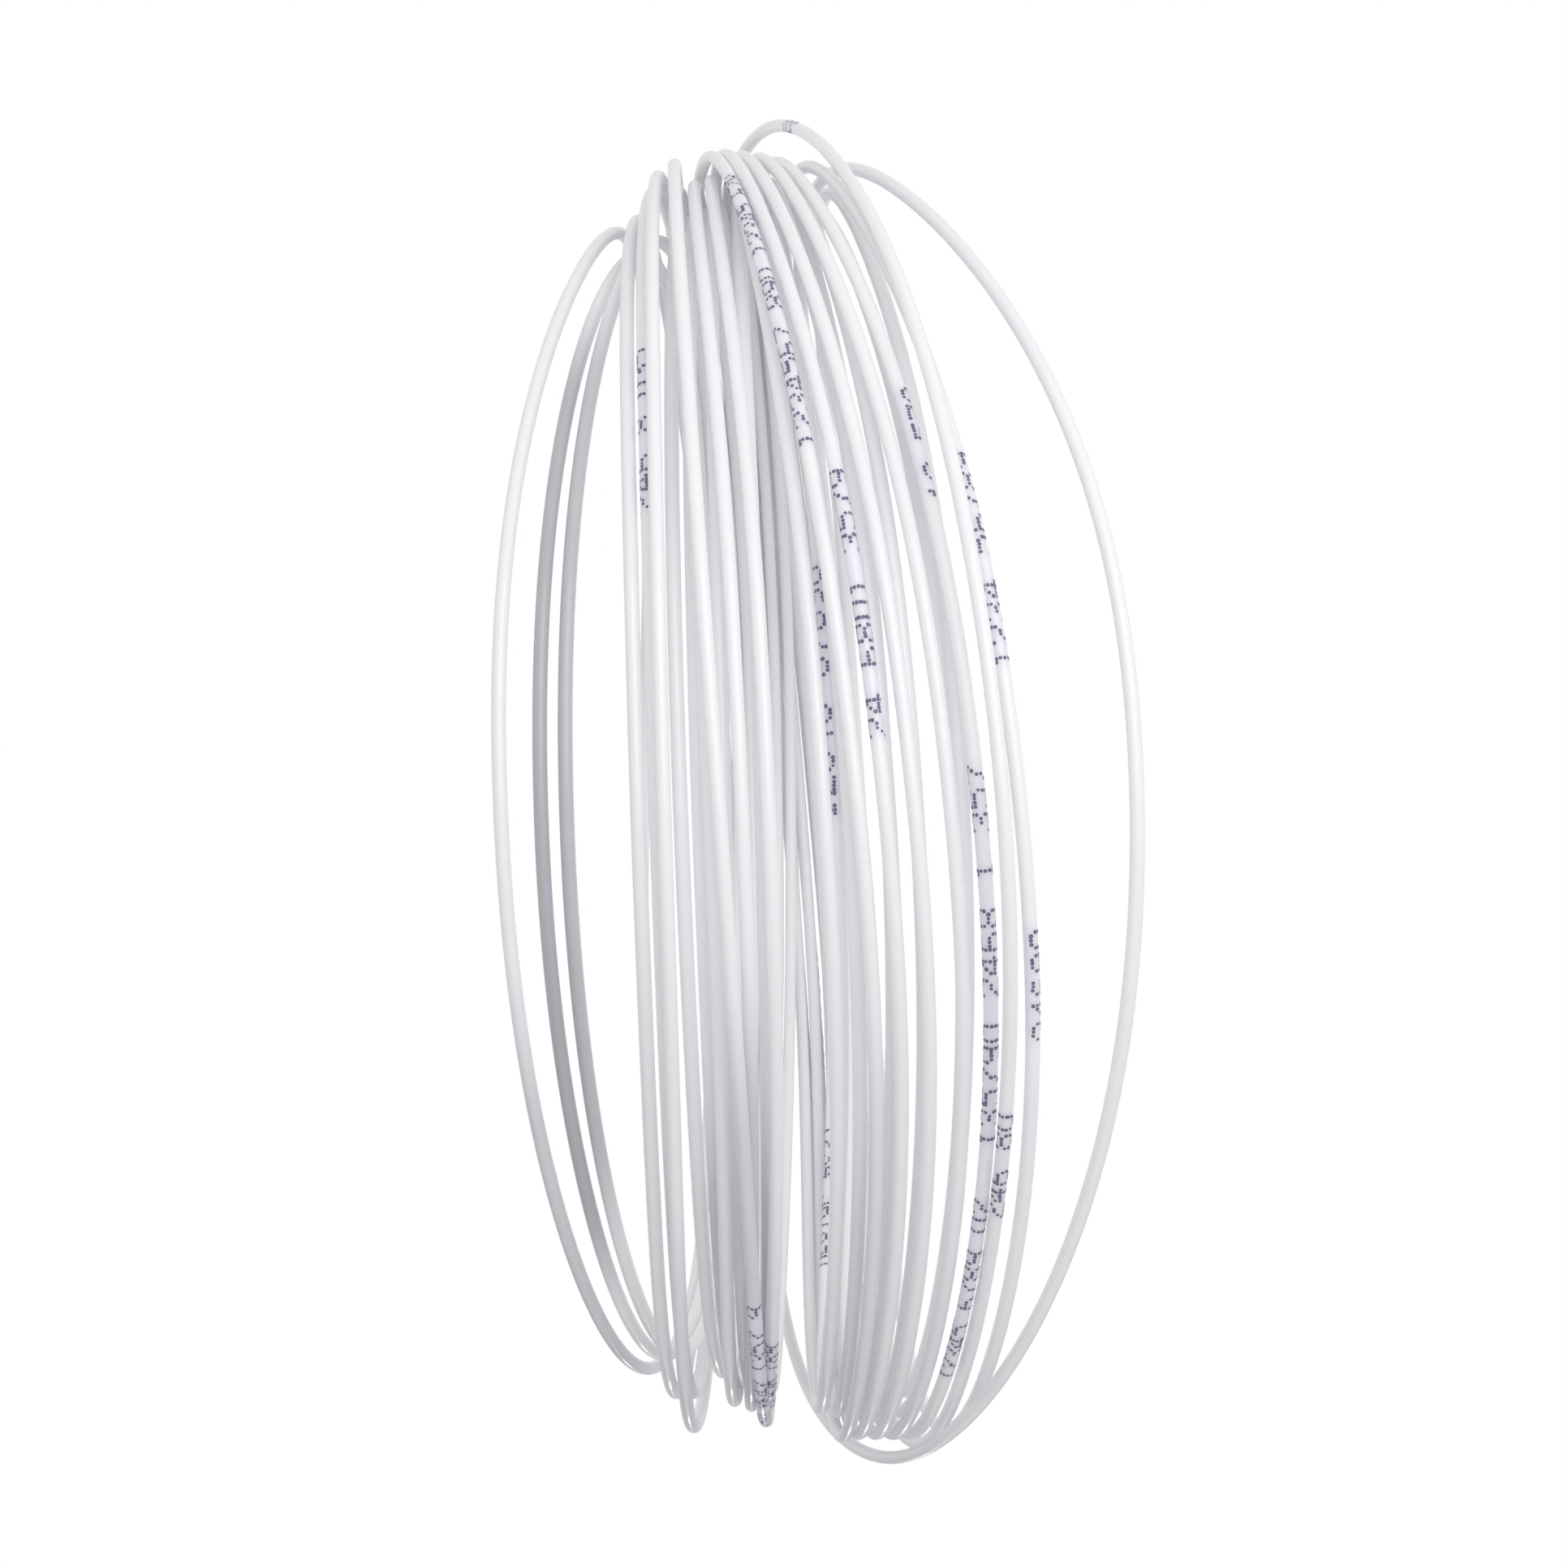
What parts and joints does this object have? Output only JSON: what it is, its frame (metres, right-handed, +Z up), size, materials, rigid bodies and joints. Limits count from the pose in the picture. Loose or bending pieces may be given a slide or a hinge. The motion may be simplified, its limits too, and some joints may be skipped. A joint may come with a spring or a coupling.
{
  "type": "racket string coil",
  "caption": "Loose coil of round synthetic racket string, pinched together at the top and fanned out below, with two bare straight ends.",
  "frame": {"origin": "hang point, at the under side of the bundle where the turns come together at the top of the coil", "axes": "+Z up, -Y to the front, +X to the right side, where the large loose turn is; the coil's own axis lies along X"},
  "size_m": [0.0558, 0.1434, 0.1389],
  "materials": {
    "string": "smooth glossy white nylon, slightly translucent, with small blue-violet dot print"
  },
  "bodies": {
    "root": {"leading_end": "string", "turn_01": "string", "turn_02": "string", "turn_03": "string", "turn_04": "string", "turn_05": "string", "turn_06": "string", "turn_07": "string", "turn_08": "string", "turn_09": "string", "turn_10": "string", "turn_11": "string", "turn_12": "string", "turn_13": "string", "turn_14": "string", "turn_15": "string", "turn_16": "string", "turn_17": "string", "turn_18": "string", "turn_19": "string", "turn_20": "string", "turn_21": "string", "turn_22": "string", "turn_23": "string", "turn_24": "string", "turn_25": "string", "turn_26": "string", "turn_27": "string", "turn_28": "string", "turn_29": "string", "turn_30": "string", "trailing_end": "string"}
  },
  "joints": []
}
